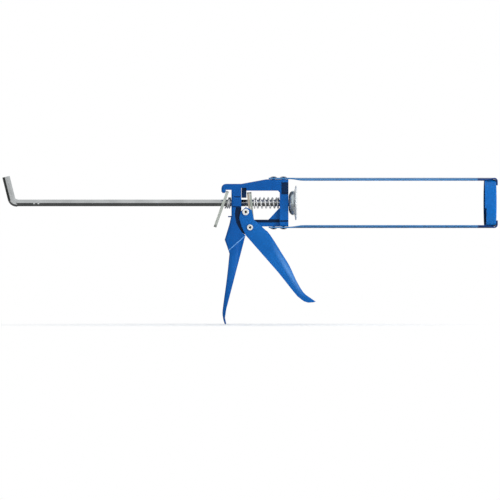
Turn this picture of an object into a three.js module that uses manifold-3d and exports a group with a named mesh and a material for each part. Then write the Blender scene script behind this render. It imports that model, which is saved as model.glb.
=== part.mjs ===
// Skeleton caulking gun, millimetres, +Z up, +X towards the nose.
// The origin is the centre of the plunger's flat front face, with the rod drawn fully back.
import * as THREE from 'three';
import { mergeVertices } from 'three/addons/utils/BufferGeometryUtils.js';
import Module from 'manifold-3d';

const wasm = await Module();
wasm.setup();

// ---- Clearances ----
const GAP = 0.3;            // between fixed pieces that meet
const PIN_GAP = 0.15;       // round a pin in its hole
const ROD_GAP = 0.42;       // round the rod's corners in a guide hole

// ---- Rod ----
const ROD_FLATS = 7.5;
const ROD_BACK = -316.5;    // where the straight bar ends and the hook bends up
const HOOK_TOP = 29.6;
const HOOK_LEAN = 14;       // degrees the hook's leg leans back
const HOOK_BEND = 5;
const STOP_BACK = -298;   // first of two crimped stops
const STOP_PITCH = 4.8;
const STOP_LONG = 2.2;
const STOP_EAR = 1.87;      // how far a stop stands out past the rod's corner
const STOP_HIGH = 3.4;

// ---- Plunger ----
const DISC_R = 19.5;
const DISC_THICK = 3.2;
const DOME_R = 13.8;

// ---- Sheet and widths ----
const SHEET = 1.6;          // frame and trigger
const FRAME_WIDE = 21;      // outside of the frame's channel
const BEND_R = 2.2;         // outside radius of the folded edges
const STRAP_THICK = 1.5;
const STRAP_WIDE = 20;
const STRAP_OUT = 28.4;     // rod axis to a strap's outer face
const STRAP_BACK = -32;
const BOW_REACH = [9, 2.4];      // the strap's curve fades out between these distances from the cup's face
const STRAP_BEND_R = 3.2;   // middle radius of the bend at the nose
const STRAP_LEG = 8.6;      // reach of the bent end down the cup's face

// ---- Nose cup ----
const CUP_FRONT = 224.8;
const CUP_DEPTH = 13.2;
const CUP_WALL = 1.2;
const NOZZLE_SLOT = 20;
const SLOT_RIM = 4.5;       // ring of side wall left behind the slot
const RIM_STEP = 1.8;       // how far the near rim is cut back below its step
const RIM_STEP_Z = -6;

// ---- Frame side view (X, Z) ----
const FRAME_FRONT = -9.7;
const TOP_Z = 21.5;
const WINDOW_TOP = 13.9;
const WINDOW_BACK = -62.9;
const WINDOW_FRONT = -19.5;
const ARM_TOP = -18.9;
const ARM_HEEL = -42;       // where the arm's lower edge meets the trigger's lug
const GUSSET_TOP = -5.9;    // slope between the front column and the arm
const GUSSET_BACK = -32.4;
const SPINE_X = -74.1;
const HOOK_NOSE = -85.4;
const HOOK_LOW = 11.1;
const NOTCH_BACK = -80.4;
const NOTCH_TOP = 14.8;
const RECESS_C = [-40, -12.9];   // centre of the curved edge round the trigger's head
const RECESS_R = 30;
const RECESS_TOP = -5;
const RECESS_END = 219;          // degrees
const RECESS_FOOT = [-60.9, -34.7];
const HANDLE_HEEL = [[SPINE_X, -14.2], [-76.5, -24.5], [-81.7, -41.6], [-79.2, -48.6]];
const HANDLE_BACK = [[-76.3, -57.2], [-79.1, -84], [-82.9, -112], [-84.2, -123.6], [-83.3, -131.5],
  [-81.4, -137.3]];
const GRIP_CORNER = [-58.2, -36.5];  // top of the grip's front edge
const HANDLE_FRONT = [[-80, -136.6], [-81.4, -130], [-79.9, -120.1], GRIP_CORNER];
const HANDLE_LOW = -137.3;
const GRIP_HOLLOW_TOP = -19;     // the grip's folded channel is open inside between these heights
const GRIP_HOLLOW_LOW = -123;
const CREASE = [[-46, -26.2], [-88, -63.2]];   // forming line across the top of the grip
const CREASE_STEP = 0.45;        // how far the grip's sides sit in below it
const GROOVE_Z = [-21.1, -19.9]; // line pressed along the top of the lower arm
const GROOVE_DEEP = 0.7;
const RIBS = [[6.3, 7.3, -70.6, -64.4], [-4.7, -4, -73, -63.6]];   // pressed lines: low, high, back, front
const RIB_DEEP = 0.35;
const STOP_BLOCK_BACK = -62.6;   // plate stop's back and low edges
const STOP_BLOCK_LOW = 5.8;
const STOP_BLOCK_LEAD = 0.42;    // space between the stop and the plates
const STOP_BLOCK_SIDE = 1.2;     // space between the stop and the side walls
const CORNER_TOP = 17;           // the side walls are cut back to here over the plate stop
const SIDE_SLOT_LOW = 9.6;       // opening in the front column's sides
const SIDE_SLOT_HIGH = 23.2;
const TAB_Z = -14.8;
const TAB_OUT = 3.8;
const TAB_THICK = 1.4;

// ---- Rivets through the straps ----
const RIVET_X = [-26.4, -15.3];
const RIVET_R = 1.5;
const RIVET_HEAD_R = 3.9;
const RIVET_HEAD = 1.2;
const RIVET_TAIL_R = 2.3;

// ---- Trigger ----
const PIVOT = [-53.1, -27.7];
const PIVOT_R = 2.6;
const DRIVE_PIN_Z = -10.3;
const PIN_LEAD = 0.365;     // space between the drive pin and the plates
const DRIVE_R = 3;
const PIN_HEAD = 0.9;       // how far a pin's rolled head stands out
const PIN_LIP = 0.8;        // how far the head reaches past the shaft
const PIN_BORE = 1.5;
const PIN_HOLE = 2.2;       // depth of the hole in each end
const LUG_R = 8;
const TRIGGER_ROUND = 3;
const FOLD_DROP = 4.4;      // how far under the arm the trigger's front fold starts
const TRIGGER_FRONT = [[-38.5, -27.3], [-32.6, -33.1], [-26.4, -41.9], [-17.9, -55.6], [-8.4, -71.1],
  [-1.3, -86.6], [7.1, -100.8], [15.3, -107.4], [21.2, -111.4]];
const TRIGGER_BACK = [[18.5, -112.3], [12.5, -112.7], [7.8, -111.2], [0.7, -105.8], [-5.3, -98.6],
  [-20.7, -79.1], [-58.2, -36.3]];
const TRIGGER_HEAD = [[-62.9, -26.1], [-65.3, -16.6], [-63.4, -9.6], [-58, -4.7], [-51.1, -8.2],
  [-48.7, -19]];

// ---- Plates and springs ----
const DRIVE_TOP = [-51.6, 12.2];  // upper front corner of the front drive plate
const DRIVE_FOOT = 0.2;           // the rear plate's lower corner above the arm
const DRIVE_TILT = 5.3;           // degrees, top leaning back
const DRIVE_THICK = 2.4;
const RELEASE_TOP = [-78.4, 13.1];
const RELEASE_LONG = 42.9;
const RELEASE_TILT = 19.5;
const RELEASE_THICK = 3.1;
const RELEASE_WIDE = 20;
const RELEASE_HOLE_GAP = 1.3;    // round the rod's corners, room for the plate to tilt
const RELEASE_HOLE_AT = 13.55;    // along the plate from its top
const SPRING_GAP = 0.57;          // between the rod's corners and the coils
const SPRING_WIRE = 0.8;
const SPRING_TURNS = 5.4;
const SPRING_BACK = -49.4;
const RETURN_TURNS = 2;

// ---- Sizes that follow ----
const HALF = FRAME_WIDE / 2;
const INNER = HALF - SHEET;                 // inside of the frame's side walls
const CHEEK = INNER - GAP;                  // outside of the trigger's cheeks
const CHEEK_IN = CHEEK - SHEET;
const WEB = CHEEK_IN - GAP;                 // outside of the narrow web behind the trigger
const WEB_IN = WEB - SHEET;
const PLATE_HALF = CHEEK_IN - GAP - 0.1;
const ROD_CORNER = ROD_FLATS / Math.sqrt(3);
const GUIDE_R = ROD_CORNER + ROD_GAP;
const SPRING_R = ROD_CORNER + SPRING_GAP + SPRING_WIRE;
const RELEASE_HOLE = ROD_CORNER + RELEASE_HOLE_GAP;
const STRAP_IN = STRAP_OUT - STRAP_THICK;
const SEAT = STRAP_IN - GAP;                // frame top and bottom under the straps
const CUP_R = STRAP_IN - GAP;
const CUP_CORNER = STRAP_BEND_R - STRAP_THICK / 2 - GAP;   // nests in the strap's bend
const DOME_LONG = -FRAME_FRONT - DISC_THICK - 2 * GAP;   // rests at the frame with the rod drawn back
const SLOPE_END = STRAP_BACK - 3;
const SPRING_FRONT = WINDOW_FRONT - GAP;
const BRACKET_BACK = WINDOW_FRONT + SHEET + GAP;
const rad = THREE.MathUtils.degToRad;
const STACK = 2 * DRIVE_THICK + GAP;        // both drive plates
const DRIVE_LONG = (DRIVE_TOP[1] - STACK * Math.sin(rad(DRIVE_TILT)) - ARM_TOP - DRIVE_FOOT)
  / Math.cos(rad(DRIVE_TILT));
const PIN_DROP = (DRIVE_TOP[1] - DRIVE_PIN_Z) * Math.tan(rad(DRIVE_TILT));
const STACK_BACK = DRIVE_TOP[0] + PIN_DROP - STACK / Math.cos(rad(DRIVE_TILT));
const DRIVE_PIN = [STACK_BACK - DRIVE_R - PIN_LEAD, DRIVE_PIN_Z];
const STOP_BLOCK_FRONT = DRIVE_TOP[0] - STACK * Math.cos(rad(DRIVE_TILT)) - STOP_BLOCK_LEAD;

// ---- Helpers ----
function solid(geometry) {
  const g = geometry.clone();
  g.deleteAttribute('normal');
  g.deleteAttribute('uv');
  const m = mergeVertices(g, 1e-4);
  return new wasm.Manifold(new wasm.Mesh({
    numProp: 3,
    vertProperties: new Float32Array(m.attributes.position.array),
    triVerts: new Uint32Array(m.index.array),
  }));
}

function geometryOf(manifold) {
  const mesh = manifold.getMesh();
  const g = new THREE.BufferGeometry();
  g.setAttribute('position', new THREE.BufferAttribute(new Float32Array(mesh.vertProperties), 3));
  g.setIndex(new THREE.BufferAttribute(new Uint32Array(mesh.triVerts), 1));
  g.computeVertexNormals();
  return g;
}

function outline(points) {
  return new THREE.Shape(points.map(([x, z]) => new THREE.Vector2(x, z)));
}

// A side-view shape stretched across the gun to half width h, its edges rounded by r.
function prism(shape, h, r = 0) {
  const g = new THREE.ExtrudeGeometry(shape, {
    depth: 2 * (h - r), curveSegments: 4, steps: 1, bevelEnabled: r > 0,
    bevelThickness: r, bevelSize: r, bevelOffset: -r, bevelSegments: 4,
  });
  g.translate(0, 0, r - h);
  g.rotateX(Math.PI / 2);
  return solid(g);
}

function box(x0, x1, y0, y1, z0, z1) {
  const g = new THREE.BoxGeometry(x1 - x0, y1 - y0, z1 - z0);
  g.translate((x0 + x1) / 2, (y0 + y1) / 2, (z0 + z1) / 2);
  return solid(g);
}

// Round bar across the gun, through (x, z).
function crossBar([x, z], r, h) {
  const g = new THREE.CylinderGeometry(r, r, 2 * h, 32);
  g.translate(x, 0, z);
  return solid(g);
}

// Round bar along X, at height z.
function axialBar(x0, x1, r, z = 0) {
  const g = new THREE.CylinderGeometry(r, r, x1 - x0, 40);
  g.rotateZ(Math.PI / 2);
  g.translate((x0 + x1) / 2, 0, z);
  return solid(g);
}

function uprightBar(x, z0, z1, r) {
  const g = new THREE.CylinderGeometry(r, r, z1 - z0, 24);
  g.rotateX(Math.PI / 2);
  g.translate(x, 0, (z0 + z1) / 2);
  return solid(g);
}

// Points of the curved recess edge, grown outwards by `out`, from its top corner to its lower end.
function recessArc(out, topZ, count = 12) {
  const r = RECESS_R + out;
  const first = 180 - THREE.MathUtils.radToDeg(Math.asin((topZ - RECESS_C[1]) / r));
  return Array.from({ length: count + 1 }, (_, i) => {
    const a = rad(first + (RECESS_END - first) * i / count);
    return [RECESS_C[0] + r * Math.cos(a), RECESS_C[1] + r * Math.sin(a)];
  });
}

// An edge moved sideways by t along its own normals; positive t moves to the right of travel.
function moved(points, t) {
  return points.map(([x, z], i) => {
    const [ax, az] = points[Math.max(i - 1, 0)];
    const [bx, bz] = points[Math.min(i + 1, points.length - 1)];
    const l = Math.hypot(bx - ax, bz - az);
    return [x + t * (bz - az) / l, z - t * (bx - ax) / l];
  });
}

function smooth(points, per = 3) {
  const curve = new THREE.SplineCurve(points.map(([x, z]) => new THREE.Vector2(x, z)));
  return curve.getPoints((points.length - 1) * per).map((p) => [p.x, p.y]);
}

function material(color, roughness, metalness) {
  return new THREE.MeshStandardMaterial({ color, roughness, metalness });
}
const bluePaint = () => material(0x0c55ae, 0.3, 0.1);
const darkPaint = () => material(0x0a2f6e, 0.4, 0.1);
const zinc = () => material(0xc4c8ca, 0.3, 0.9);
const springSteel = () => material(0x9a9da0, 0.35, 0.9);
const tanPlate = () => material(0xa89a84, 0.4, 0.85);
const greenPlate = () => material(0x9aa394, 0.4, 0.85);

function piece(name, geometry, mat) {
  const mesh = new THREE.Mesh(geometry, mat);
  mesh.name = name;
  return mesh;
}

// ---- Frame with handle ----
function hookNose() {
  const r = TOP_Z - NOTCH_TOP - 1.6;
  const steps = 5;
  return Array.from({ length: steps + 1 }, (_, i) => {
    const a = rad(180 - 90 * i / steps);
    return [HOOK_NOSE + r + r * Math.cos(a), TOP_Z - r + r * Math.sin(a)];
  });
}

// The grip's rear edge from the column down to the tip.
function handleBack() {
  return [...HANDLE_HEEL, ...smooth(HANDLE_BACK)];
}

function frameSilhouette() {
  const beyond = 12;        // the open front edges are trimmed later
  return outline([
    [HOOK_NOSE, HOOK_LOW], ...hookNose(), [WINDOW_BACK, TOP_Z], [SLOPE_END, SEAT],
    [FRAME_FRONT + beyond, SEAT], [FRAME_FRONT + beyond, -SEAT], [WINDOW_FRONT - beyond, -SEAT],
    [PIVOT[0] + beyond, GRIP_CORNER[1] - beyond], [HANDLE_FRONT[2][0] + beyond, HANDLE_LOW - beyond],
    [HANDLE_FRONT[0][0] + 2, HANDLE_LOW - beyond],
    ...handleBack().reverse(), [SPINE_X, HOOK_LOW],
  ]);
}

function frameOutline() {
  const nose = 1.6;
  return outline([
    [NOTCH_BACK, NOTCH_TOP], [NOTCH_BACK, HOOK_LOW + nose], [NOTCH_BACK - nose, HOOK_LOW],
    [HOOK_NOSE + nose, HOOK_LOW], [HOOK_NOSE, HOOK_LOW + nose], ...hookNose(), [WINDOW_BACK, TOP_Z],
    [SLOPE_END, SEAT], [FRAME_FRONT, SEAT], [FRAME_FRONT, -SEAT], [WINDOW_FRONT, -SEAT],
    [WINDOW_FRONT, WINDOW_TOP - 2],
    [WINDOW_FRONT - 2, WINDOW_TOP], [WINDOW_BACK + 2, WINDOW_TOP], [WINDOW_BACK, WINDOW_TOP - 2],
    [WINDOW_BACK, RECESS_TOP], ...recessArc(0, RECESS_TOP), RECESS_FOOT,
    ...[...HANDLE_FRONT].reverse(), ...handleBack().reverse(), [SPINE_X, NOTCH_TOP],
  ]);
}

function topCavity() {
  const s = SHEET;
  return outline([
    [HOOK_NOSE + s, HOOK_LOW - 1], [HOOK_NOSE + s, TOP_Z - s - 3], [HOOK_NOSE + s + 3, TOP_Z - s],
    [WINDOW_BACK, TOP_Z - s], [SLOPE_END, SEAT - s], [FRAME_FRONT + 2, SEAT - s],
    [FRAME_FRONT + 2, -SEAT + s], [WINDOW_FRONT + s, -SEAT + s], [WINDOW_FRONT + s, WINDOW_TOP + s],
    [WINDOW_BACK, WINDOW_TOP + s], [WINDOW_BACK + 1, RECESS_TOP + s], [SPINE_X + s, RECESS_TOP + s],
    [SPINE_X + s, NOTCH_TOP + s], [NOTCH_BACK, NOTCH_TOP + s], [NOTCH_BACK, HOOK_LOW - 1],
  ]);
}

function underBridge() {
  return outline([[WINDOW_BACK - 1, WINDOW_TOP - 3], [WINDOW_FRONT - 0.01, WINDOW_TOP - 3],
    [WINDOW_FRONT - 0.01, WINDOW_TOP + 3], [WINDOW_BACK - 1, WINDOW_TOP + 3]]);
}

function handleCavity() {
  const spine = moved(handleBack(), -SHEET).filter(([, z]) => z < GRIP_HOLLOW_TOP && z > GRIP_HOLLOW_LOW);
  const low = spine[spine.length - 1];
  return outline([
    ...spine, [low[0] + 12, low[1]], [GRIP_CORNER[0] + 18, GRIP_CORNER[1] - 8.5],
    [PIVOT[0] + 1, PIVOT[1] - 2.3],
    ...recessArc(SHEET, RECESS_TOP).reverse().filter(([, z]) => z < GRIP_HOLLOW_TOP),
  ]);
}

function webOutline() {
  const lug = Array.from({ length: 9 }, (_, i) => {
    const a = rad(228 + 84 * i / 8);
    return [PIVOT[0] + LUG_R * Math.cos(a), PIVOT[1] + LUG_R * Math.sin(a)];
  });
  return outline([
    [WINDOW_FRONT + SHEET / 2, -SEAT], [WINDOW_FRONT + SHEET / 2, GUSSET_TOP + 1],
    [WINDOW_FRONT - 0.6, GUSSET_TOP], [GUSSET_BACK + 1, ARM_TOP + 0.8], [GUSSET_BACK, ARM_TOP],
    [WINDOW_BACK + 2.4, ARM_TOP],
    [WINDOW_BACK, ARM_TOP + 3.5], [WINDOW_BACK, RECESS_TOP + SHEET / 2],
    ...recessArc(SHEET / 2, RECESS_TOP + SHEET / 2), [GRIP_CORNER[0] - 1, GRIP_CORNER[1] + 0.8], ...lug,
    [ARM_HEEL, -SEAT],
  ]);
}

function webCavity() {
  const low = GRIP_CORNER[1] - 4;     // past the web's lower edge, so that it is open there
  const behind = SPINE_X - 4;
  return outline([[WINDOW_FRONT + SHEET, -SEAT + SHEET], [ARM_HEEL + 0.5, -SEAT + SHEET],
    [ARM_HEEL - 2, low], [behind, low], [behind, 0], [WINDOW_FRONT + SHEET, 0]]);
}

// A slab that reaches from half width h outwards on one side of the gun.
function sideBox(x0, x1, h, side, z0, z1) {
  const far = HALF + 2;
  return side > 0 ? box(x0, x1, h, far, z0, z1) : box(x0, x1, -far, -h, z0, z1);
}

function sideCuts(side) {
  const [a, b] = CREASE;
  const below = HANDLE_LOW - 10;
  const deep = 2;
  const slab = new THREE.ExtrudeGeometry(outline([a, b, [b[0], below], [a[0], below]]),
    { depth: deep, bevelEnabled: false });
  slab.rotateX(Math.PI / 2);
  slab.translate(0, side > 0 ? HALF - CREASE_STEP + deep : CREASE_STEP - HALF, 0);
  const cuts = [solid(slab)];
  for (const [low, high, back, front] of RIBS) {
    cuts.push(sideBox(back, front, HALF - RIB_DEEP, side, low, high));
  }
  const [low, high] = GROOVE_Z;
  cuts.push(sideBox(WINDOW_FRONT - 0.5, FRAME_FRONT + 1, HALF - GROOVE_DEEP, side, low, high));
  cuts.push(sideBox(-48, WINDOW_FRONT, WEB - GROOVE_DEEP, side, low, high));
  cuts.push(sideBox(WINDOW_BACK, STOP_BLOCK_FRONT, INNER - 0.5, side, WINDOW_TOP - 2.5, CORNER_TOP));
  return cuts;
}

function makePlateStop() {
  const h = INNER - STOP_BLOCK_SIDE;
  const high = TOP_Z - SHEET - GAP;
  const block = box(STOP_BLOCK_BACK, STOP_BLOCK_FRONT, -h, h, STOP_BLOCK_LOW, high);
  const hollow = box(STOP_BLOCK_BACK - 1, STOP_BLOCK_FRONT - SHEET, SHEET - h, h - SHEET,
    STOP_BLOCK_LOW - 1, high + 1);
  return geometryOf(block.subtract(hollow));
}

function makeFrame() {
  const shell = prism(frameSilhouette(), HALF, BEND_R).intersect(prism(frameOutline(), HALF + 1));
  const hollow = shell.subtract(prism(topCavity(), INNER)).subtract(prism(underBridge(), INNER))
    .subtract(prism(handleCavity(), INNER));
  const web = prism(webOutline(), WEB).subtract(prism(webCavity(), WEB_IN));
  let body = hollow.add(web)
    .add(box(SPINE_X - TAB_OUT, SPINE_X + 1, -4, 4, TAB_Z - TAB_THICK, TAB_Z))
    .subtract(box(BRACKET_BACK, FRAME_FRONT + 2, -HALF - 1, HALF + 1, SIDE_SLOT_LOW, SIDE_SLOT_HIGH))
    .subtract(axialBar(SPINE_X - 2, WINDOW_FRONT + 3, GUIDE_R))
    .subtract(crossBar(PIVOT, PIVOT_R + PIN_GAP, HALF + 1));
  for (const side of [-1, 1]) {
    for (const cut of sideCuts(side)) body = body.subtract(cut);
  }
  for (const x of RIVET_X) {
    body = body.subtract(uprightBar(x, SEAT - 3, SEAT + 1, RIVET_R + GAP))
      .subtract(uprightBar(x, -SEAT - 1, -SEAT + 3, RIVET_R + GAP));
  }
  return geometryOf(body);
}

// ---- Bracket that closes the front column ----
function makeBracket() {
  const back = BRACKET_BACK;
  const low = -SEAT + SHEET + GAP;
  const high = SIDE_SLOT_HIGH;
  const body = box(back, FRAME_FRONT, -CHEEK, CHEEK, low, high)
    .subtract(box(back - 1, FRAME_FRONT - SHEET, -CHEEK_IN, CHEEK_IN, low - 1, high + 1));
  return geometryOf(body.subtract(axialBar(FRAME_FRONT - 4, FRAME_FRONT + 1, GUIDE_R)));
}

// ---- Straps ----
function strapStations() {
  const straight = CUP_FRONT + GAP + STRAP_THICK / 2 - STRAP_BEND_R - STRAP_BACK;
  const bend = STRAP_BEND_R * Math.PI / 2;
  const cuts = (from, to, n) => Array.from({ length: n }, (_, i) => from + (to - from) * i / n);
  const leg = STRAP_LEG - STRAP_BEND_R - STRAP_THICK / 2;
  return {
    straight, bend,
    list: [...cuts(0, 48, 12), ...cuts(48, straight - 40, 6), ...cuts(straight - 40, straight, 10),
      ...cuts(straight, straight + bend, 8), ...cuts(straight + bend, straight + bend + leg, 2),
      straight + bend + leg],
  };
}

// How far the strap is curved across its width to follow the cup: 0 at its flat ends, 1 between.
function bowAt(x) {
  const rise = THREE.MathUtils.smoothstep(x, FRAME_FRONT + 1.5, 7);
  const [far, near] = BOW_REACH;
  return rise * (1 - THREE.MathUtils.smoothstep(x, CUP_FRONT - far, CUP_FRONT - near));
}

function makeStrap() {
  const { straight, bend, list } = strapStations();
  const across = 8;
  const n = list.length - 1;
  const g = new THREE.BoxGeometry(1, STRAP_WIDE, STRAP_THICK, n, across, 1);
  const p = g.attributes.position;
  const mid = STRAP_OUT - STRAP_THICK / 2;
  for (let i = 0; i < p.count; i += 1) {
    const s = list[Math.round((p.getX(i) + 0.5) * n)];
    const y = p.getY(i);
    const turn = THREE.MathUtils.clamp((s - straight) / STRAP_BEND_R, 0, Math.PI / 2);
    const run = STRAP_BACK + Math.min(s, straight);
    const drop = Math.max(s - straight - bend, 0);
    const t = p.getZ(i) - y * y / (2 * STRAP_IN) * bowAt(run);
    p.setXYZ(i, run + (STRAP_BEND_R + t) * Math.sin(turn), y,
      mid - STRAP_BEND_R + (STRAP_BEND_R + t) * Math.cos(turn) - drop);
  }
  let body = solid(g);
  for (const x of RIVET_X) {
    body = body.subtract(uprightBar(x, STRAP_IN - 2, STRAP_OUT + 2, RIVET_R + GAP));
  }
  return geometryOf(body);
}

// Profile turned about the upright line through (x, 0).
function makeStrapRivet() {
  const head = STRAP_OUT + GAP;
  const tail = SEAT - SHEET - GAP;
  const profile = [[0, tail - 1], [RIVET_TAIL_R - 0.4, tail - 1], [RIVET_TAIL_R, tail - 0.6],
    [RIVET_TAIL_R, tail], [RIVET_R, tail], [RIVET_R, head], [RIVET_HEAD_R, head],
    [RIVET_HEAD_R, head + 0.4], [RIVET_HEAD_R * 0.8, head + 0.8], [RIVET_HEAD_R * 0.45, head + 1.1],
    [0, head + RIVET_HEAD]];
  const g = new THREE.LatheGeometry(profile.map(([r, z]) => new THREE.Vector2(r, z)), 28);
  g.rotateX(Math.PI / 2);
  return geometryOf(solid(g));
}

// ---- Turned pieces on the rod's axis: profile of (x, radius) ----
function turned(profile, segments = 64) {
  const g = new THREE.LatheGeometry(profile.map(([x, r]) => new THREE.Vector2(r, x)), segments);
  g.rotateZ(-Math.PI / 2);
  return solid(g);
}

function makeCup() {
  const back = CUP_FRONT - CUP_DEPTH;
  const w = CUP_WALL;
  const corner = (r, x, radius) => Array.from({ length: 6 }, (_, i) => {
    const a = rad(90 - 90 * i / 5);
    return [x - radius + radius * Math.cos(a), r - radius + radius * Math.sin(a)];
  });
  const outer = [[back, 0], [back, CUP_R], ...corner(CUP_R, CUP_FRONT, CUP_CORNER), [CUP_FRONT, 0]];
  const inner = [[back - 2, 0], [back - 2, CUP_R - w],
    ...corner(CUP_R - w, CUP_FRONT - w, CUP_CORNER - w), [CUP_FRONT - w, 0]];
  const half = NOZZLE_SLOT / 2;
  const body = turned(outer).subtract(turned(inner))
    .subtract(axialBar(CUP_FRONT - 5, CUP_FRONT + 2, half))
    .subtract(box(back + SLOT_RIM, CUP_FRONT + 2, 0, CUP_R + 2, -half, half))
    .subtract(box(back - 1, back + RIM_STEP, -CUP_R - 2, -8, -CUP_R - 2, RIM_STEP_Z));
  return geometryOf(body);
}

function makeDisc() {
  const r = GUIDE_R - 0.1;
  const body = turned([[0, 0], [0, DISC_R - 2], [-0.7, DISC_R - 0.4], [-1.3, DISC_R], [-2, DISC_R - 0.2],
    [-2.5, DISC_R - 2], [-DISC_THICK, DOME_R], [-DISC_THICK, 0]].reverse());
  return geometryOf(body.subtract(axialBar(-DISC_THICK - 1, 1, r)));
}

function makeDome() {
  const front = -DISC_THICK - GAP;
  const arc = Array.from({ length: 8 }, (_, i) => {
    const a = rad(90 * i / 7);
    return [front - DOME_LONG * Math.sin(a), 6 + (DOME_R - 6) * Math.cos(a)];
  });
  const body = turned([[front, 0], ...arc, [front - DOME_LONG, 0]].reverse());
  return geometryOf(body.subtract(axialBar(front - DOME_LONG - 1, front + 1, GUIDE_R - 0.1)));
}

// ---- Rod ----
function hexagon() {
  return outline(Array.from({ length: 6 }, (_, i) => {
    const a = rad(60 * i + 30);
    return [ROD_CORNER * Math.cos(a), ROD_CORNER * Math.sin(a)];
  }));
}

function makeRod() {
  const bar = new THREE.ExtrudeGeometry(hexagon(), { depth: -ROD_BACK, bevelEnabled: false });
  bar.rotateY(-Math.PI / 2);
  const lean = rad(HOOK_LEAN);
  const corner = new THREE.Vector3(ROD_BACK - HOOK_BEND, 0, 0);
  const start = new THREE.Vector3(ROD_BACK + 0.5, 0, 0);
  const along = new THREE.Vector3(-Math.sin(lean), 0, Math.cos(lean));
  const path = new THREE.CurvePath();
  const rise = corner.clone().addScaledVector(along, HOOK_BEND);
  path.add(new THREE.QuadraticBezierCurve3(start, corner, rise));
  path.add(new THREE.LineCurve3(rise, corner.clone().addScaledVector(along, HOOK_TOP / Math.cos(lean))));
  const hook = new THREE.ExtrudeGeometry(hexagon(), { steps: 36, extrudePath: path, bevelEnabled: false });
  let body = solid(bar).add(solid(hook));
  for (const k of [0, 1]) {
    const x = STOP_BACK + k * STOP_PITCH;
    const ear = ROD_CORNER + STOP_EAR;
    body = body.add(box(x, x + STOP_LONG, -ear, ear, -STOP_HIGH / 2, STOP_HIGH / 2));
  }
  return geometryOf(body);
}

// ---- Trigger ----
function triggerOutline() {
  return outline([...smooth(TRIGGER_FRONT), ...TRIGGER_BACK, ...TRIGGER_HEAD]);
}

function triggerSilhouette() {
  return outline([[-44, -21], ...smooth(TRIGGER_FRONT), [32, -119], [24, -132], [-36, -106], [-84, -42],
    [-84, 8], [-44, 8]]);
}

function triggerCavity() {
  const fold = -SEAT - FOLD_DROP;
  const inner = moved(smooth(TRIGGER_FRONT), SHEET + 0.2).filter(([x, z]) => z < fold && x < 8);
  const [ahead] = inner[0];
  return outline([[ahead + 8, fold + 3], ...inner, [-4, -116], [-80, -50], [-80, 8], [ahead + 8, 8]]);
}

function makeTrigger() {
  const body = prism(triggerSilhouette(), CHEEK, TRIGGER_ROUND)
    .intersect(prism(triggerOutline(), CHEEK + 1))
    .subtract(prism(triggerCavity(), CHEEK_IN))
    .subtract(crossBar(PIVOT, PIVOT_R + PIN_GAP, HALF + 1))
    .subtract(crossBar(DRIVE_PIN, DRIVE_R + PIN_GAP, HALF + 1));
  return geometryOf(body);
}

// Semi-tubular rivet across the gun: shaft radius r, rolled heads outside the trigger's cheeks,
// and a blind hole in each head.
function makePin([x, z], r) {
  const h = CHEEK + GAP;
  const end = h + PIN_HEAD;
  const side = [[r, h], [r + PIN_LIP, h], [r + PIN_LIP, h + 0.4], [r, end], [PIN_BORE, end],
    [PIN_BORE, end - PIN_HOLE], [0, end - PIN_HOLE]];
  const profile = [...side.map(([a, b]) => [a, -b]).reverse(), ...side];
  const g = new THREE.LatheGeometry(profile.map(([a, b]) => new THREE.Vector2(a, b)), 36);
  g.translate(x, 0, z);
  return geometryOf(solid(g));
}

// ---- Plates: front face on X = 0 with its top edge at the origin, then leaned and placed ----
function makePlate(long, half, thick, cornerR, holeAt, holeR, lean, [x, z]) {
  const s = new THREE.Shape();
  s.moveTo(-half, -cornerR);
  s.quadraticCurveTo(-half, 0, -half + cornerR, 0);
  s.lineTo(half - cornerR, 0);
  s.quadraticCurveTo(half, 0, half, -cornerR);
  s.lineTo(half, -long + cornerR);
  s.quadraticCurveTo(half, -long, half - cornerR, -long);
  s.lineTo(-half + cornerR, -long);
  s.quadraticCurveTo(-half, -long, -half, -long + cornerR);
  const g = new THREE.ExtrudeGeometry(s, { depth: thick, curveSegments: 5, bevelEnabled: false });
  const across = new THREE.Vector3(0, 1, 0);
  const up = new THREE.Vector3(0, 0, 1);
  const ahead = new THREE.Vector3(1, 0, 0);
  g.applyMatrix4(new THREE.Matrix4().makeBasis(across, up, ahead));
  g.translate(-thick, 0, 0);
  const placed = geometryOf(solid(g).subtract(axialBar(-thick - 1, 1, holeR, -holeAt)));
  placed.rotateY(rad(lean));
  placed.translate(x, 0, z);
  return placed;
}

// The second plate lies behind the first along their shared normal.
function makeDrivePlate(index) {
  const back = index * (DRIVE_THICK + GAP);
  const lean = rad(DRIVE_TILT);
  const at = [DRIVE_TOP[0] - back * Math.cos(lean), DRIVE_TOP[1] - back * Math.sin(lean)];
  const holeAt = (at[1] - (DRIVE_THICK / 2) * Math.sin(lean)) / Math.cos(lean);
  return makePlate(DRIVE_LONG, PLATE_HALF, DRIVE_THICK, 2, holeAt, GUIDE_R + 0.1, -DRIVE_TILT, at);
}

function makeReleasePlate() {
  const half = RELEASE_THICK / 2;
  const lean = rad(RELEASE_TILT);
  const front = [RELEASE_TOP[0] + half * Math.cos(lean), RELEASE_TOP[1] - half * Math.sin(lean)];
  return makePlate(RELEASE_LONG, RELEASE_WIDE / 2, RELEASE_THICK, 3, RELEASE_HOLE_AT, RELEASE_HOLE,
    RELEASE_TILT, front);
}

// ---- Springs ----
class Coil extends THREE.Curve {
  constructor(turns, endX, startX) {
    super();
    this.turns = turns;
    this.endX = endX;
    this.startX = startX;
  }

  getPoint(t, target = new THREE.Vector3()) {
    const a = 2 * Math.PI * this.turns * t;
    const y = SPRING_R * Math.sin(a);
    const z = SPRING_R * Math.cos(a);
    return target.set(this.startX + (this.endX(z) - this.startX) * t, y, z);
  }
}

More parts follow.
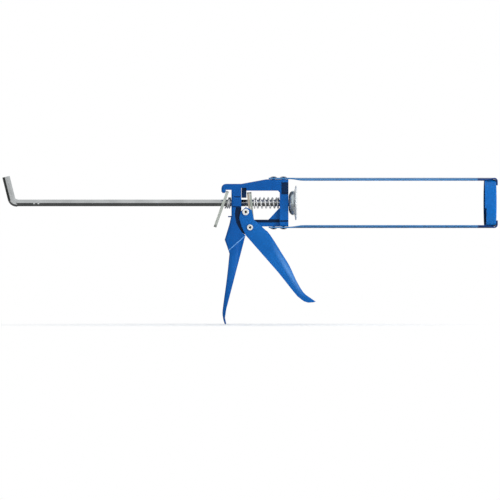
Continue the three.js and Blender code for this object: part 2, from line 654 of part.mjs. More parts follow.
function makeSpring(curve, wire) {
  const ring = new THREE.Shape();
  ring.absarc(0, 0, wire, 0, 2 * Math.PI, false);
  const g = new THREE.ExtrudeGeometry(ring, {
    steps: Math.round(curve.turns * 20), curveSegments: 4, extrudePath: curve, bevelEnabled: false,
  });
  return geometryOf(solid(g));
}

function makeMainSpring() {
  const back = SPRING_BACK + SPRING_WIRE;
  return makeSpring(new Coil(SPRING_TURNS, () => back, SPRING_FRONT - SPRING_WIRE), SPRING_WIRE);
}

function makeReturnSpring() {
  const lean = Math.tan(rad(RELEASE_TILT));
  const face = (z) => RELEASE_TOP[0] - (RELEASE_TOP[1] - z) * lean
    + (RELEASE_THICK / 2 + SPRING_WIRE) / Math.cos(rad(RELEASE_TILT)) + GAP;
  return makeSpring(new Coil(RETURN_TURNS, face, SPINE_X - GAP - SPRING_WIRE), SPRING_WIRE);
}

// ---- Assembly ----
const gun = new THREE.Group();
gun.name = 'caulking_gun';
gun.add(piece('frame', makeFrame(), bluePaint()));
gun.add(piece('plate_stop', makePlateStop(), darkPaint()));
gun.add(piece('front_bracket', makeBracket(), darkPaint()));
gun.add(piece('upper_strap', makeStrap(), bluePaint()));
const lower = new THREE.Group();
lower.name = 'lower_side';
lower.rotation.x = Math.PI;
lower.add(piece('lower_strap', makeStrap(), bluePaint()));
gun.add(lower);
gun.add(piece('nose_cup', makeCup(), bluePaint()));
RIVET_X.forEach((x, i) => {
  for (const [side, parent] of [['upper', gun], ['lower', lower]]) {
    const rivet = piece(`${side}_strap_rivet_${i + 1}`, makeStrapRivet(), darkPaint());
    rivet.position.x = x;
    parent.add(rivet);
  }
});
gun.add(piece('trigger', makeTrigger(), bluePaint()));
gun.add(piece('trigger_pivot_rivet', makePin(PIVOT, PIVOT_R), zinc()));
gun.add(piece('drive_pin_rivet', makePin(DRIVE_PIN, DRIVE_R), zinc()));
gun.add(piece('drive_plate_front', makeDrivePlate(0), greenPlate()));
gun.add(piece('drive_plate_rear', makeDrivePlate(1), tanPlate()));
gun.add(piece('main_spring', makeMainSpring(), springSteel()));
gun.add(piece('release_plate', makeReleasePlate(), zinc()));
gun.add(piece('release_spring', makeReturnSpring(), springSteel()));
gun.add(piece('push_rod', makeRod(), zinc()));
gun.add(piece('plunger_disc', makeDisc(), zinc()));
gun.add(piece('plunger_dome', makeDome(), zinc()));

export default gun;
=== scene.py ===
import math

import bmesh
import bpy
from mathutils import Matrix, Vector

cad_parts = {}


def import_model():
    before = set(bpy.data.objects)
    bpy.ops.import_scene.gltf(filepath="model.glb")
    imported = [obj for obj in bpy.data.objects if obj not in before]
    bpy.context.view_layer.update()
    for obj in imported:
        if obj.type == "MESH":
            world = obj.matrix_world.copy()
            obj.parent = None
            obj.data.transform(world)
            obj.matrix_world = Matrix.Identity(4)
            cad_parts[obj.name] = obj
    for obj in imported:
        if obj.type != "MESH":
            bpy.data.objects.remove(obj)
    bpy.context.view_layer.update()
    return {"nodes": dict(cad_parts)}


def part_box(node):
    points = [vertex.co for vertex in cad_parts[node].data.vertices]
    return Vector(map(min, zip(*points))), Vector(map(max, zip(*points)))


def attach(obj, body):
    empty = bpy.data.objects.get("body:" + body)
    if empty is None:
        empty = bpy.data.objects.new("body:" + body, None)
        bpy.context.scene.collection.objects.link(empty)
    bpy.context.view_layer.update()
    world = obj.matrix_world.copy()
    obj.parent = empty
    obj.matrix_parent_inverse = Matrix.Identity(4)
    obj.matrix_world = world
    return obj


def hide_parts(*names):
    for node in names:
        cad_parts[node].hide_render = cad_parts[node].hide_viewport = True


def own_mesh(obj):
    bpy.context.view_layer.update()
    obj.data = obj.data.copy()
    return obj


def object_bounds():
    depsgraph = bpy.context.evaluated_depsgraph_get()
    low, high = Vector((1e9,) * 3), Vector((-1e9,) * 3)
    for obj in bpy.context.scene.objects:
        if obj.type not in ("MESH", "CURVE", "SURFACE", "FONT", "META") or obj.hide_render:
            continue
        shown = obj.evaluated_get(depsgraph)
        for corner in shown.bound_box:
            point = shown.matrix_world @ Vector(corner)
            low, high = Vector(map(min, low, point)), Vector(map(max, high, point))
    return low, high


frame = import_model()

MM = 0.001
RAD = math.radians
SHARP = 32                  # degrees, where smooth shading breaks


# ---------------------------------------------------------------- materials
def new_material(name):
    mat = bpy.data.materials.new(name)
    mat.use_nodes = True
    tree = mat.node_tree
    bsdf = next(n for n in tree.nodes if n.type == "BSDF_PRINCIPLED")
    return mat, tree, bsdf


def noise_node(tree, scale, stretch=(1, 1, 1), detail=3.0):
    """Noise in the object's own space, finer where stretch is larger."""
    coords = tree.nodes.new("ShaderNodeTexCoord")
    mapping = tree.nodes.new("ShaderNodeMapping")
    mapping.inputs["Scale"].default_value = stretch
    noise = tree.nodes.new("ShaderNodeTexNoise")
    noise.inputs["Scale"].default_value = scale
    noise.inputs["Detail"].default_value = detail
    tree.links.new(coords.outputs["Object"], mapping.inputs["Vector"])
    tree.links.new(mapping.outputs["Vector"], noise.inputs["Vector"])
    return noise


def spread(tree, noise, low, high):
    """The noise's middle range mapped to low..high."""
    mapped = tree.nodes.new("ShaderNodeMapRange")
    mapped.inputs["From Min"].default_value = 0.3
    mapped.inputs["From Max"].default_value = 0.7
    mapped.inputs["To Min"].default_value = low
    mapped.inputs["To Max"].default_value = high
    tree.links.new(noise.outputs["Fac"], mapped.inputs["Value"])
    return mapped.outputs["Result"]


def mixed(tree, factor, a, b):
    mix = tree.nodes.new("ShaderNodeMix")
    mix.data_type = "RGBA"
    mix.inputs["A"].default_value = (*a, 1)
    mix.inputs["B"].default_value = (*b, 1)
    tree.links.new(factor, mix.inputs["Factor"])
    return mix.outputs["Result"]


def bumped(tree, bsdf, noise, strength, distance):
    bump = tree.nodes.new("ShaderNodeBump")
    bump.inputs["Strength"].default_value = strength
    bump.inputs["Distance"].default_value = distance
    tree.links.new(noise.outputs["Fac"], bump.inputs["Height"])
    tree.links.new(bump.outputs["Normal"], bsdf.inputs["Normal"])


def math_node(tree, operation, *values):
    node = tree.nodes.new("ShaderNodeMath")
    node.operation = operation
    for socket, value in zip(node.inputs, values):
        if isinstance(value, bpy.types.NodeSocket):
            tree.links.new(value, socket)
        else:
            socket.default_value = value
    return node.outputs[0]


def place_node(tree):
    coords = tree.nodes.new("ShaderNodeTexCoord")
    return coords.outputs["Object"]


def in_box(low, high):
    """Mask of a box given by two corners in millimetres."""
    def build(tree):
        split = tree.nodes.new("ShaderNodeSeparateXYZ")
        tree.links.new(place_node(tree), split.inputs[0])
        result = None
        for axis, a, b in zip("XYZ", low, high):
            inside = math_node(tree, "COMPARE", split.outputs[axis], (a + b) / 2 * MM, (b - a) / 2 * MM)
            result = inside if result is None else math_node(tree, "MULTIPLY", result, inside)
        return result
    return build


def along_side(tree, direction):
    """Distance from the origin along a direction in the side view (x, z)."""
    dot = tree.nodes.new("ShaderNodeVectorMath")
    dot.operation = "DOT_PRODUCT"
    dot.inputs[1].default_value = (direction[0], 0, direction[1])
    tree.links.new(place_node(tree), dot.inputs[0])
    return dot.outputs["Value"]


def near_line(start, end, half, low, high):
    """Mask of a thin band along a line seen from the side, kept inside a box; millimetres."""
    def build(tree):
        dx, dz = end[0] - start[0], end[1] - start[1]
        long = math.hypot(dx, dz)
        normal = (dz / long, -dx / long)
        away = (start[0] * normal[0] + start[1] * normal[1]) * MM
        band = math_node(tree, "COMPARE", along_side(tree, normal), away, half * MM)
        return math_node(tree, "MULTIPLY", band, in_box(low, high)(tree))
    return build


def soft_line(start, end, half, strength):
    """Mask that fades to both sides and both ends of a line seen from the side; millimetres."""
    def build(tree):
        dx, dz = end[0] - start[0], end[1] - start[1]
        long = math.hypot(dx, dz)
        middle = ((start[0] + end[0]) / 2, (start[1] + end[1]) / 2)
        result = strength
        for (x, z), reach in (((dz / long, -dx / long), half), ((dx / long, dz / long), long / 2)):
            centre = (middle[0] * x + middle[1] * z) * MM
            shifted = math_node(tree, "SUBTRACT", along_side(tree, (x, z)), centre)
            share = math_node(tree, "DIVIDE", math_node(tree, "ABSOLUTE", shifted), reach * MM)
            inside = math_node(tree, "MAXIMUM", math_node(tree, "SUBTRACT", 1, share), 0)
            result = math_node(tree, "MULTIPLY", inside, result)
        return result
    return build


def in_round(centre, keep, radius, low, high):
    """Mask of a cylinder through `centre`, across the axis left out of `keep`, kept inside a box."""
    def build(tree):
        shift = tree.nodes.new("ShaderNodeMapping")
        shift.inputs["Location"].default_value = [-c * MM * k for c, k in zip(centre, keep)]
        shift.inputs["Scale"].default_value = keep
        tree.links.new(place_node(tree), shift.inputs["Vector"])
        away = tree.nodes.new("ShaderNodeVectorMath")
        away.operation = "LENGTH"
        tree.links.new(shift.outputs["Vector"], away.inputs[0])
        near = math_node(tree, "LESS_THAN", away.outputs["Value"], radius * MM)
        return math_node(tree, "MULTIPLY", near, in_box(low, high)(tree))
    return build


def marked(tree, color, marks):
    """The colour with each mark's tone laid over it: painted shade and painted highlights."""
    for mask, tone in marks:
        mix = tree.nodes.new("ShaderNodeMix")
        mix.data_type = "RGBA"
        tree.links.new(mask(tree), mix.inputs["Factor"])
        tree.links.new(color, mix.inputs["A"])
        mix.inputs["B"].default_value = (*tone, 1)
        color = mix.outputs["Result"]
    return color


def paint(name, deep, light, rough=0.3, marks=(), peel=0.06):
    """Gloss enamel over pressed steel: slow tone drift, fine orange peel, a thin clear top; marks lay
    painted shade and highlights over it.
    """
    mat, tree, bsdf = new_material(name)
    drift = noise_node(tree, 22, detail=2.0)
    color = marked(tree, mixed(tree, spread(tree, drift, 0, 1), deep, light), marks)
    tree.links.new(color, bsdf.inputs["Base Color"])
    tree.links.new(spread(tree, noise_node(tree, 90), rough - 0.05, rough + 0.08), bsdf.inputs["Roughness"])
    bsdf.inputs["Specular IOR Level"].default_value = 0.08
    bsdf.inputs["Coat Weight"].default_value = 0.1
    bsdf.inputs["Coat Roughness"].default_value = 0.1
    bumped(tree, bsdf, noise_node(tree, 650, detail=2.0), peel, 0.0001)
    return mat


def plated(name, low, high, rough, stretch, grain=900, strength=0.06, marks=(), metal=1.0):
    """Bright plating over drawn or rolled steel: cloudy tone, drawing lines along the piece; marks lay
    painted shade over it.
    """
    mat, tree, bsdf = new_material(name)
    bsdf.inputs["Metallic"].default_value = metal
    cloud = noise_node(tree, 60, detail=4.0)
    color = marked(tree, mixed(tree, spread(tree, cloud, 0, 1), low, high), marks)
    tree.links.new(color, bsdf.inputs["Base Color"])
    lines = noise_node(tree, grain, stretch, 4.0)
    tree.links.new(spread(tree, lines, rough - 0.07, rough + 0.1), bsdf.inputs["Roughness"])
    bumped(tree, bsdf, lines, strength, 0.00012)
    return mat


# Tones the photograph shows in shade or in light, painted by position in the frame's millimetres.
SHADE = (0.0012, 0.013, 0.048)
# Tone of the painted highlight along the grip's crease edge.
CREASE_HIGHLIGHT = (0.16, 0.36, 0.66)
# Painted shade: the recessed web behind the trigger, a line along the arm's top, the column's groove and the
# two rear rib lines.
INNER_WEB = in_box((-72.3, -7.6, -36.6), (-46, 7.6, -3.6))
ARM_LINE = in_box((-48, -7.6, -22.2), (-19.3, 7.6, -18.4))
COLUMN_GROOVE = in_box((-19.4, -12, -21.3), (-9, 12, -19.7))
REAR_RIB_HIGH = in_box((-70.7, -12, 6.2), (-64.3, 12, 7.4))
REAR_RIB_LOW = in_box((-73, -12, -4.8), (-63.5, 12, -3.9))
# Painted highlight: a light line along the grip's crease edge.
GRIP_CREASE = near_line((-46, -26.2), (-88, -63.2), 0.32, (-84, -12, -62), (-57, 12, -36))
# All of the frame's painted shade and its painted crease highlight.
FRAME_SHADE_AND_HIGHLIGHT = (
    (INNER_WEB, SHADE),
    (ARM_LINE, SHADE),
    (COLUMN_GROOVE, SHADE),
    (REAR_RIB_HIGH, SHADE),
    (REAR_RIB_LOW, SHADE),
    (GRIP_CREASE, CREASE_HIGHLIGHT),
)
# Painted highlight along the trigger's rounded front edge.
LEVER_HIGHLIGHT = ((soft_line((-29.3, -43.2), (8.4, -107.9), 3.6, 0.6), (0.13, 0.31, 0.62)),)
# Painted shade inside the nose cup's rim.
CUP_INSIDE = in_round((0, 0, 0), (0, 1, 1), 25.9, (200, -30, -30), (223.7, 30, 30))
# Painted shade on the straps where they run over the nose cup.
STRAP_NOSE = in_box((204, -30, -40), (240, 30, 40))
STRAP_NOSE_SHADE = (0.003, 0.03, 0.13)
# Painted shade: a near-black band down the rear of the hook leg.
HOOK_BACK = near_line((-324.3, -0.7), (-331.7, 28.9), 1.5, (-336, -6, 2.5), (-322, 6, 31))
HOOK_BACK_SHADE = (0.06, 0.065, 0.06)
# Painted shade in the rivets' bores.
RIVET_HOLE_SHADE = (0.03, 0.03, 0.028)

BLUE = paint("blue_enamel", (0.0015, 0.060, 0.245), (0.003, 0.082, 0.305), marks=FRAME_SHADE_AND_HIGHLIGHT)
LEVER = paint("blue_enamel_lever", (0.002, 0.076, 0.285), (0.005, 0.100, 0.345), marks=LEVER_HIGHLIGHT)
# The cup's blue is lighter than the frame's, as painted light on the cup, and carries painted shade inside
# its rim.
CUP = paint("blue_enamel_cup_painted_light", (0.003, 0.084, 0.305), (0.008, 0.118, 0.385),
            marks=((CUP_INSIDE, SHADE),))
# The straps' blue is lighter and greyer than the frame's, as a painted sheen; over the nose cup it carries
# painted shade.
STRAP = paint("blue_enamel_strap_painted_sheen", (0.026, 0.122, 0.285), (0.048, 0.162, 0.35), peel=0.02,
              marks=((STRAP_NOSE, STRAP_NOSE_SHADE),))
# Navy paint; on the stop block and the front bracket it is painted shade, standing for the shadow inside the
# frame.
NAVY_AND_SHADE = paint("navy_enamel_and_painted_shade", (0.0012, 0.014, 0.050), (0.002, 0.020, 0.072), 0.4)
ROD = plated("zinc_drawn", (0.58, 0.59, 0.58), (0.72, 0.73, 0.72), 0.22, (0.04, 1, 1), 900, 0.003,
             marks=((HOOK_BACK, HOOK_BACK_SHADE),))
DISC = plated("zinc_pressed", (0.76, 0.78, 0.79), (0.86, 0.88, 0.88), 0.18, (1, 1, 1), 260, 0.008, metal=0.5)
DOME = plated("zinc_pressed_dome", (0.52, 0.60, 0.64), (0.68, 0.75, 0.78), 0.2, (1, 1, 1), 260, 0.008,
              metal=0.75)
PLATE = plated("zinc_blanked", (0.42, 0.45, 0.41), (0.56, 0.59, 0.54), 0.3, (1, 1, 0.12), 500, metal=0.7)
TAN = plated("warm_passivated", (0.60, 0.51, 0.40), (0.72, 0.64, 0.54), 0.32, (1, 1, 0.15), 500)
GREEN = plated("green_passivated", (0.50, 0.55, 0.49), (0.66, 0.70, 0.64), 0.32, (1, 1, 0.15), 500)
WIRE = plated("spring_wire", (0.72, 0.72, 0.71), (0.86, 0.86, 0.85), 0.25, (1, 1, 1), 1200, 0.03, metal=0.5)


# ---------------------------------------------------------------- building
def finish_mesh(mesh, angle=SHARP):
    mesh.shade_smooth()
    mesh.set_sharp_from_angle(angle=RAD(angle))


def add_object(name, mesh, mat, slot, body, *nodes):
    obj = bpy.data.objects.new(name, mesh)
    bpy.context.scene.collection.objects.link(obj)
    mesh.materials.clear()
    mesh.materials.append(mat)
    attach(obj, body)
    if nodes:
        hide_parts(*nodes)
    return obj


def eased(name, node, mat, slot, body, bevel=0.3, segments=3, limit=38):
    """The CAD solid with its flats made whole and every fold and cut edge rounded."""
    mesh = frame["nodes"][node].data.copy()
    bm = bmesh.new()
    bm.from_mesh(mesh)
    bmesh.ops.remove_doubles(bm, verts=bm.verts, dist=1e-6)
    bmesh.ops.dissolve_limit(bm, angle_limit=RAD(0.6), verts=bm.verts, edges=bm.edges)
    bm.to_mesh(mesh)
    bm.free()
    finish_mesh(mesh, limit)
    obj = add_object(name, mesh, mat, slot, body, node)
    mod = obj.modifiers.new("eased_edges", "BEVEL")
    mod.width = bevel * MM
    mod.segments = segments
    mod.limit_method = "ANGLE"
    mod.angle_limit = RAD(limit)
    mod.harden_normals = True
    mod.use_clamp_overlap = True


def lathe(profile, steps, closed=False):
    """Mesh turned about +X from a list of (x, radius) in millimetres."""
    bm = bmesh.new()
    rings = []
    for x, r in profile:
        if r < 1e-6:
            rings.append([bm.verts.new((x * MM, 0, 0))])
            continue
        ring = []
        for k in range(steps):
            a = 2 * math.pi * k / steps
            ring.append(bm.verts.new((x * MM, r * MM * math.cos(a), r * MM * math.sin(a))))
        rings.append(ring)
    pairs = list(zip(rings, rings[1:]))
    if closed:
        pairs.append((rings[-1], rings[0]))
    for a, b in pairs:
        for k in range(steps):
            n = (k + 1) % steps
            corner = []
            for v in (a[k % len(a)], a[n % len(a)], b[n % len(b)], b[k % len(b)]):
                if v not in corner:
                    corner.append(v)
            if len(corner) > 2:
                bm.faces.new(corner)
    bmesh.ops.recalc_face_normals(bm, faces=bm.faces)
    return bm


def to_mesh(bm, name, angle=SHARP):
    mesh = bpy.data.meshes.new(name)
    bm.to_mesh(mesh)
    bm.free()
    finish_mesh(mesh, angle)
    return mesh


def arc(cx, cr, radius, first, last, count):
    return [(cx + radius * math.cos(RAD(first + (last - first) * i / count)),
             cr + radius * math.sin(RAD(first + (last - first) * i / count)))
            for i in range(count + 1)]


END_TAPER = 0.72            # a wire end's radius against the wire's


def sweep(points, radius, sides, name):
    """Round wire along a line of points in metres, its ends rounded over."""
    bm = bmesh.new()
    rings = []
    n = len(points)
    up = Vector((0, 0, 1))
    for i, p in enumerate(points):
        along = (points[min(i + 1, n - 1)] - points[max(i - 1, 0)]).normalized()
        side = along.cross(up)
        side = side.normalized() if side.length > 1e-4 else Vector((0, 1, 0))
        up = side.cross(along).normalized()
        grow = END_TAPER if i in (0, n - 1) else 1.0
        rings.append([bm.verts.new(p + (side * math.cos(t) + up * math.sin(t)) * radius * grow)
                      for t in (2 * math.pi * k / sides for k in range(sides))])
    for a, b in zip(rings, rings[1:]):
        for k in range(sides):
            bm.faces.new((a[k], a[(k + 1) % sides], b[(k + 1) % sides], b[k]))
    bm.faces.new(rings[0][::-1])
    bm.faces.new(rings[-1])
    bmesh.ops.recalc_face_normals(bm, faces=bm.faces)
    return to_mesh(bm, name, 50)


# ---------------------------------------------------------------- sheet-metal pieces
eased("frame_sheet", "frame", BLUE, "blue_paint", "frame", 0.28)
# Stop block and front bracket painted navy as painted shade inside the frame.
eased("plate_stop_block", "plate_stop", NAVY_AND_SHADE, "dark_blue_paint", "frame", 0.3)
eased("front_bracket_sheet", "front_bracket", NAVY_AND_SHADE, "dark_blue_paint", "frame", 0.3)
eased("trigger_lever", "trigger", LEVER, "blue_paint", "trigger", 0.3)
eased("upper_strap_bar", "upper_strap", STRAP, "blue_paint", "frame", 0.4)
eased("lower_strap_bar", "lower_strap", STRAP, "blue_paint", "frame", 0.4)
eased("nose_cup_shell", "nose_cup", CUP, "blue_paint", "frame", 0.3)
eased("release_thumb_plate", "release_plate", PLATE, "zinc_plate", "release_plate", 0.45)
eased("drive_plate_front_steel", "drive_plate_front", GREEN, "green_passivated_steel", "drive_plates", 0.4)
eased("drive_plate_rear_steel", "drive_plate_rear", TAN, "tan_passivated_steel", "drive_plates", 0.4)
eased("push_rod_bar", "push_rod", ROD, "zinc_plate", "rod", 0.35)


# ---------------------------------------------------------------- plunger
def plunger():
    disc_low, disc_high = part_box("plunger_disc")
    dome_low, dome_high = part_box("plunger_dome")
    edge = disc_high.z / MM
    back = disc_low.x / MM
    hub = dome_high.z / MM
    bore = 4.6
    rim = arc(-1.3, edge - 0.8, 0.8, 40, 180, 8)
    profile = [(-0.25, bore), (0, bore + 0.3), (0, edge - 5), (-0.12, edge - 3), (-0.5, edge - 1.2),
               *rim, (-2.3, edge - 2.6), (back + 0.35, hub + 1.2), (back, hub - 0.6), (back, bore + 0.3),
               (back + 0.3, bore)]
    mesh = to_mesh(lathe(profile, 128, True), "plunger_disc_pressing")
    add_object("plunger_disc_pressing", mesh, DISC, "zinc_plate", "rod", "plunger_disc")
    front = dome_high.x / MM
    rear = dome_low.x / MM
    long = front - rear
    shell = [(front, bore), (front, hub - 0.5), (front - 0.3, hub - 0.1), (front - 0.8, hub)]
    shell += [(front - 0.8 - (long - 0.8) * math.sin(RAD(a)), 6.5 + (hub - 6.5) * math.cos(RAD(a)))
              for a in range(6, 91, 6)]
    shell += [(rear, bore + 0.4), (rear + 0.3, bore)]
    mesh = to_mesh(lathe(shell, 96, True), "plunger_dome_pressing")
    add_object("plunger_dome_pressing", mesh, DOME, "zinc_plate", "rod", "plunger_dome")


plunger()


# ---------------------------------------------------------------- rivets
def tube_rivet(node, body):
    """Semi-tubular rivet across the gun: rolled-over lips round a short blind hole at each end."""
    low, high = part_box(node)
    middle = (low + high) / 2
    lip = (high.x - low.x) / 2 / MM
    half = (high.y - low.y) / 2 / MM
    shaft = lip - 0.8
    bore = 1.5
    floor_at = half - 2.2
    inner = half - 0.9
    right = [(inner, shaft), (inner, lip - 0.1)]
    right += arc(half - 0.45, lip - 0.45, 0.45, 90, 0, 5) + [(half, lip - 1.0)]
    right += arc(half - 0.5, bore + 0.5, 0.5, 0, -90, 5)
    right += [(floor_at, bore), (floor_at, 0)]
    left = [(-x, r) for x, r in reversed(right)]
    bm = lathe(left + right, 64)
    bmesh.ops.rotate(bm, verts=bm.verts, cent=(0, 0, 0), matrix=Matrix.Rotation(RAD(90), 3, "Z"))
    bmesh.ops.translate(bm, verts=bm.verts, vec=middle)
    mesh = to_mesh(bm, node + "_tube")
    centre = tuple(middle / MM)
    # Painted shade darkens the rivet's bore.
    hole = in_round(centre, (1, 0, 1), bore - 0.25, (centre[0] - 3, -30, centre[2] - 3),
                    (centre[0] + 3, 30, centre[2] + 3))
    steel = plated(node + "_zinc", (0.74, 0.74, 0.71), (0.86, 0.86, 0.83), 0.2, (1, 1, 1), 500, 0.04,
                   ((hole, RIVET_HOLE_SHADE),), metal=0.6)
    add_object(node + "_tube", mesh, steel, "zinc_plate", body, node)


tube_rivet("trigger_pivot_rivet", "frame")
tube_rivet("drive_pin_rivet", "trigger")


def strap_rivet(node):
    """Low dome-headed rivet, head outwards, with a flattened tail inside the frame."""
    low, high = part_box(node)
    middle = (low + high) / 2
    outward = 1 if middle.z > 0 else -1
    long = (high.z - low.z) / MM
    head = (high.x - low.x) / 2 / MM
    rise = 1.2
    shank = 1.5
    under = long - rise
    dome = [(under + rise * math.sin(RAD(a)), (head - 0.35) * math.cos(RAD(a))) for a in range(20, 90, 10)]
    tail = [(0, 0), (0, 1.9), (0.3, 2.25), (1.0, 2.3), (1.0, shank)]
    profile = [*tail, (under, shank), (under, head - 0.15), (under + 0.1, head), (under + 0.3, head - 0.05),
               *dome, (long, 0)]
    bm = lathe(profile, 48)
    base = low.z if outward > 0 else high.z
    for v in bm.verts:
        v.co = Vector((middle.x + v.co.y, middle.y + v.co.z, base + outward * v.co.x))
    bmesh.ops.recalc_face_normals(bm, faces=bm.faces)
    mesh = to_mesh(bm, node + "_head")
    add_object(node + "_head", mesh, NAVY_AND_SHADE, "dark_blue_paint", "frame", node)


for side in ("upper", "lower"):
    for index in (1, 2):
        strap_rivet(f"{side}_strap_rivet_{index}")


# ---------------------------------------------------------------- springs
WIRE_RADIUS = 0.8 * MM
STEPS_PER_TURN = 40
CLOSED_TURNS = 0.75         # wound close at each end
MAIN_TURNS = 6.9
RELEASE_TURNS = 2.6
PLATE_LEAN = RAD(19.5)      # the thumb plate's lean, which the release spring's rear end follows


def coil(node, name, turns, lean=0.0):
    """Closed-end compression spring round the rod."""
    low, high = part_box(node)
    wire = WIRE_RADIUS
    radius = (high.z - low.z) / 2 - wire
    front = high.x - wire
    back = low.x + wire
    points = []
    count = int(turns * STEPS_PER_TURN)
    for i in range(count + 1):
        t = i / count
        a = 2 * math.pi * turns * t
        z = radius * math.cos(a)
        y = radius * math.sin(a)
        if lean:
            far = (low.x + high.x) / 2 + wire * 0.2 + math.tan(lean) * z - 0.0015
            x = front + (far - front) * t
        else:
            close = CLOSED_TURNS / turns
            ease = (t - close) / (1 - 2 * close)
            share = min(max(ease, 0), 1)
            flat = 2 * wire / (front - back) * 0.8
            x = front + (back - front) * (share * (1 - 2 * flat) + flat * min(t / close, 1)
                                          + flat * max((t - 1 + close) / close, 0))
        points.append(Vector((x, y, z)))
    mesh = sweep(points, wire, 16, name)
    obj = add_object(name, mesh, WIRE, "spring_steel", "frame", node)
    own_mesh(obj)


def springs():
    coil("main_spring", "main_spring_coil", MAIN_TURNS)
    coil("release_spring", "release_spring_coil", RELEASE_TURNS, PLATE_LEAN)


springs()


# ---------------------------------------------------------------- stage
low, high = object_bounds()
FLOOR_Z = low.z - 0.0005


def background_white(tree):
    """1 where the camera looks at the backdrop, straight or through glass."""
    path = tree.nodes.new("ShaderNodeLightPath")
    seen = tree.nodes.new("ShaderNodeMath")
    seen.operation = "MAXIMUM"
    tree.links.new(path.outputs["Is Camera Ray"], seen.inputs[0])
    tree.links.new(path.outputs["Is Transmission Ray"], seen.inputs[1])
    return seen.outputs[0]


def world():
    """White to the camera; in reflections dark below and towards -X, so that plated steel reads dark."""
    w = bpy.data.worlds.new("studio")
    bpy.context.scene.world = w
    w.use_nodes = True
    tree = w.node_tree
    out = next(n for n in tree.nodes if n.type == "OUTPUT_WORLD")
    soft = next(n for n in tree.nodes if n.type == "BACKGROUND")
    coords = tree.nodes.new("ShaderNodeTexCoord")
    parts = tree.nodes.new("ShaderNodeSeparateXYZ")
    tree.links.new(coords.outputs["Generated"], parts.inputs[0])
    ramp = tree.nodes.new("ShaderNodeValToRGB")
    ramp.color_ramp.elements[0].position = 0.38
    ramp.color_ramp.elements[0].color = (0.06, 0.06, 0.06, 1)
    ramp.color_ramp.elements[1].position = 0.53
    ramp.color_ramp.elements[1].color = (0.88, 0.90, 0.92, 1)
    height = tree.nodes.new("ShaderNodeMapRange")
    height.inputs["From Min"].default_value = -1
    tree.links.new(parts.outputs["Z"], height.inputs["Value"])
    tree.links.new(height.outputs["Result"], ramp.inputs["Fac"])
    side = tree.nodes.new("ShaderNodeMapRange")
    side.interpolation_type = "SMOOTHSTEP"
    side.inputs["From Min"].default_value = -0.9
    side.inputs["From Max"].default_value = -0.74
    side.inputs["To Min"].default_value = 0.08
    tree.links.new(parts.outputs["X"], side.inputs["Value"])
    shade = tree.nodes.new("ShaderNodeVectorMath")
    shade.operation = "SCALE"
    tree.links.new(ramp.outputs["Color"], shade.inputs[0])
    tree.links.new(side.outputs["Result"], shade.inputs["Scale"])
    tree.links.new(shade.outputs["Vector"], soft.inputs["Color"])
    soft.inputs["Strength"].default_value = 0.8
    white = tree.nodes.new("ShaderNodeBackground")
    white.inputs["Color"].default_value = (1, 1, 1, 1)
    white.inputs["Strength"].default_value = 1.0
    mix = tree.nodes.new("ShaderNodeMixShader")
    tree.links.new(background_white(tree), mix.inputs["Fac"])
    tree.links.new(soft.outputs[0], mix.inputs[1])
    tree.links.new(white.outputs[0], mix.inputs[2])
    tree.links.new(mix.outputs[0], out.inputs["Surface"])


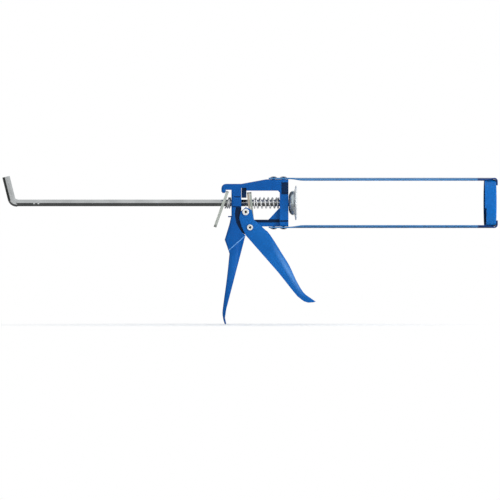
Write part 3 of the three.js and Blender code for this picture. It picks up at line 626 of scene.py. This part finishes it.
def floor():
    """Pale floor that keeps the shadow, fades to white with distance and looks dark in near reflections."""
    bm = bmesh.new()
    size = 9.0
    bmesh.ops.create_grid(bm, x_segments=8, y_segments=8, size=size)
    mesh = bpy.data.meshes.new("floor")
    bm.to_mesh(mesh)
    bm.free()
    obj = bpy.data.objects.new("floor", mesh)
    obj.location = (0, 0, FLOOR_Z)
    bpy.context.scene.collection.objects.link(obj)
    mat, tree, bsdf = new_material("pale_floor")
    drift = noise_node(tree, 3)
    tree.links.new(mixed(tree, spread(tree, drift, 0, 1), (0.86, 0.87, 0.88), (0.9, 0.9, 0.9)),
                   bsdf.inputs["Base Color"])
    bsdf.inputs["Roughness"].default_value = 0.7
    out = next(n for n in tree.nodes if n.type == "OUTPUT_MATERIAL")
    path = tree.nodes.new("ShaderNodeLightPath")
    dark = tree.nodes.new("ShaderNodeBsdfDiffuse")
    reach = tree.nodes.new("ShaderNodeMapRange")
    reach.inputs["From Min"].default_value = 0.25
    reach.inputs["From Max"].default_value = 1.2
    reach.inputs["To Min"].default_value = 0.09
    reach.inputs["To Max"].default_value = 0.8
    tree.links.new(reach.outputs["Result"], dark.inputs["Color"])
    mirrored = tree.nodes.new("ShaderNodeMixShader")
    tree.links.new(path.outputs["Is Glossy Ray"], mirrored.inputs["Fac"])
    tree.links.new(bsdf.outputs[0], mirrored.inputs[1])
    tree.links.new(dark.outputs[0], mirrored.inputs[2])
    white = tree.nodes.new("ShaderNodeEmission")
    white.inputs["Strength"].default_value = 1.0
    coords = tree.nodes.new("ShaderNodeTexCoord")
    flat = tree.nodes.new("ShaderNodeMapping")
    flat.inputs["Location"].default_value = (0.05, 0, 0)
    flat.inputs["Scale"].default_value = (0.55, 1, 1)
    far = tree.nodes.new("ShaderNodeVectorMath")
    far.operation = "LENGTH"
    fade = tree.nodes.new("ShaderNodeMapRange")
    fade.interpolation_type = "SMOOTHSTEP"
    fade.inputs["From Min"].default_value = 0.06
    fade.inputs["From Max"].default_value = 0.2
    tree.links.new(coords.outputs["Object"], flat.inputs["Vector"])
    tree.links.new(flat.outputs["Vector"], far.inputs[0])
    tree.links.new(far.outputs["Value"], fade.inputs["Value"])
    tree.links.new(far.outputs["Value"], reach.inputs["Value"])
    seen = tree.nodes.new("ShaderNodeMath")
    seen.operation = "MULTIPLY"
    tree.links.new(fade.outputs["Result"], seen.inputs[0])
    tree.links.new(background_white(tree), seen.inputs[1])
    clean = tree.nodes.new("ShaderNodeMixShader")
    tree.links.new(seen.outputs[0], clean.inputs["Fac"])
    tree.links.new(mirrored.outputs[0], clean.inputs[1])
    tree.links.new(white.outputs[0], clean.inputs[2])
    tree.links.new(clean.outputs[0], out.inputs["Surface"])
    mesh.materials.append(mat)


def area(name, place, target, size, power, size_y=None):
    """A soft lamp that lights the object and is hidden from its reflections."""
    data = bpy.data.lights.new(name, "AREA")
    data.shape = "RECTANGLE"
    data.size = size
    data.size_y = size_y or size
    data.energy = power
    obj = bpy.data.objects.new(name, data)
    obj.location = place
    obj.rotation_mode = "QUATERNION"
    obj.rotation_quaternion = (Vector(target) - Vector(place)).to_track_quat("-Z", "Y")
    obj.visible_glossy = False
    bpy.context.scene.collection.objects.link(obj)


def lights():
    middle = (-0.05, 0, -0.03)
    area("key", (-0.7, -1.5, 1.7), middle, 1.2, 9.5)
    area("front_fill", (0.9, -2.2, 0.5), middle, 1.6, 5.5)
    area("top_strip", (0.0, 0.1, 1.6), middle, 1.6, 2, 0.5)
    area("nose_card", (1.1, -0.8, 0.15), middle, 0.6, 20, 1.0)
    area("back_rim", (0.5, 1.6, 1.1), middle, 1.2, 4)


def camera():
    data = bpy.data.cameras.new("camera")
    data.sensor_width = 36
    data.lens = 500
    obj = bpy.data.objects.new("camera", data)
    away = 7.848
    view_x = -0.0531
    view_z = -0.0532
    obj.location = (view_x, -away, view_z)
    obj.rotation_euler = (RAD(90), 0, 0)
    bpy.context.scene.collection.objects.link(obj)
    bpy.context.scene.camera = obj


world()
floor()
lights()
camera()
bpy.context.scene.view_settings.view_transform = "Standard"
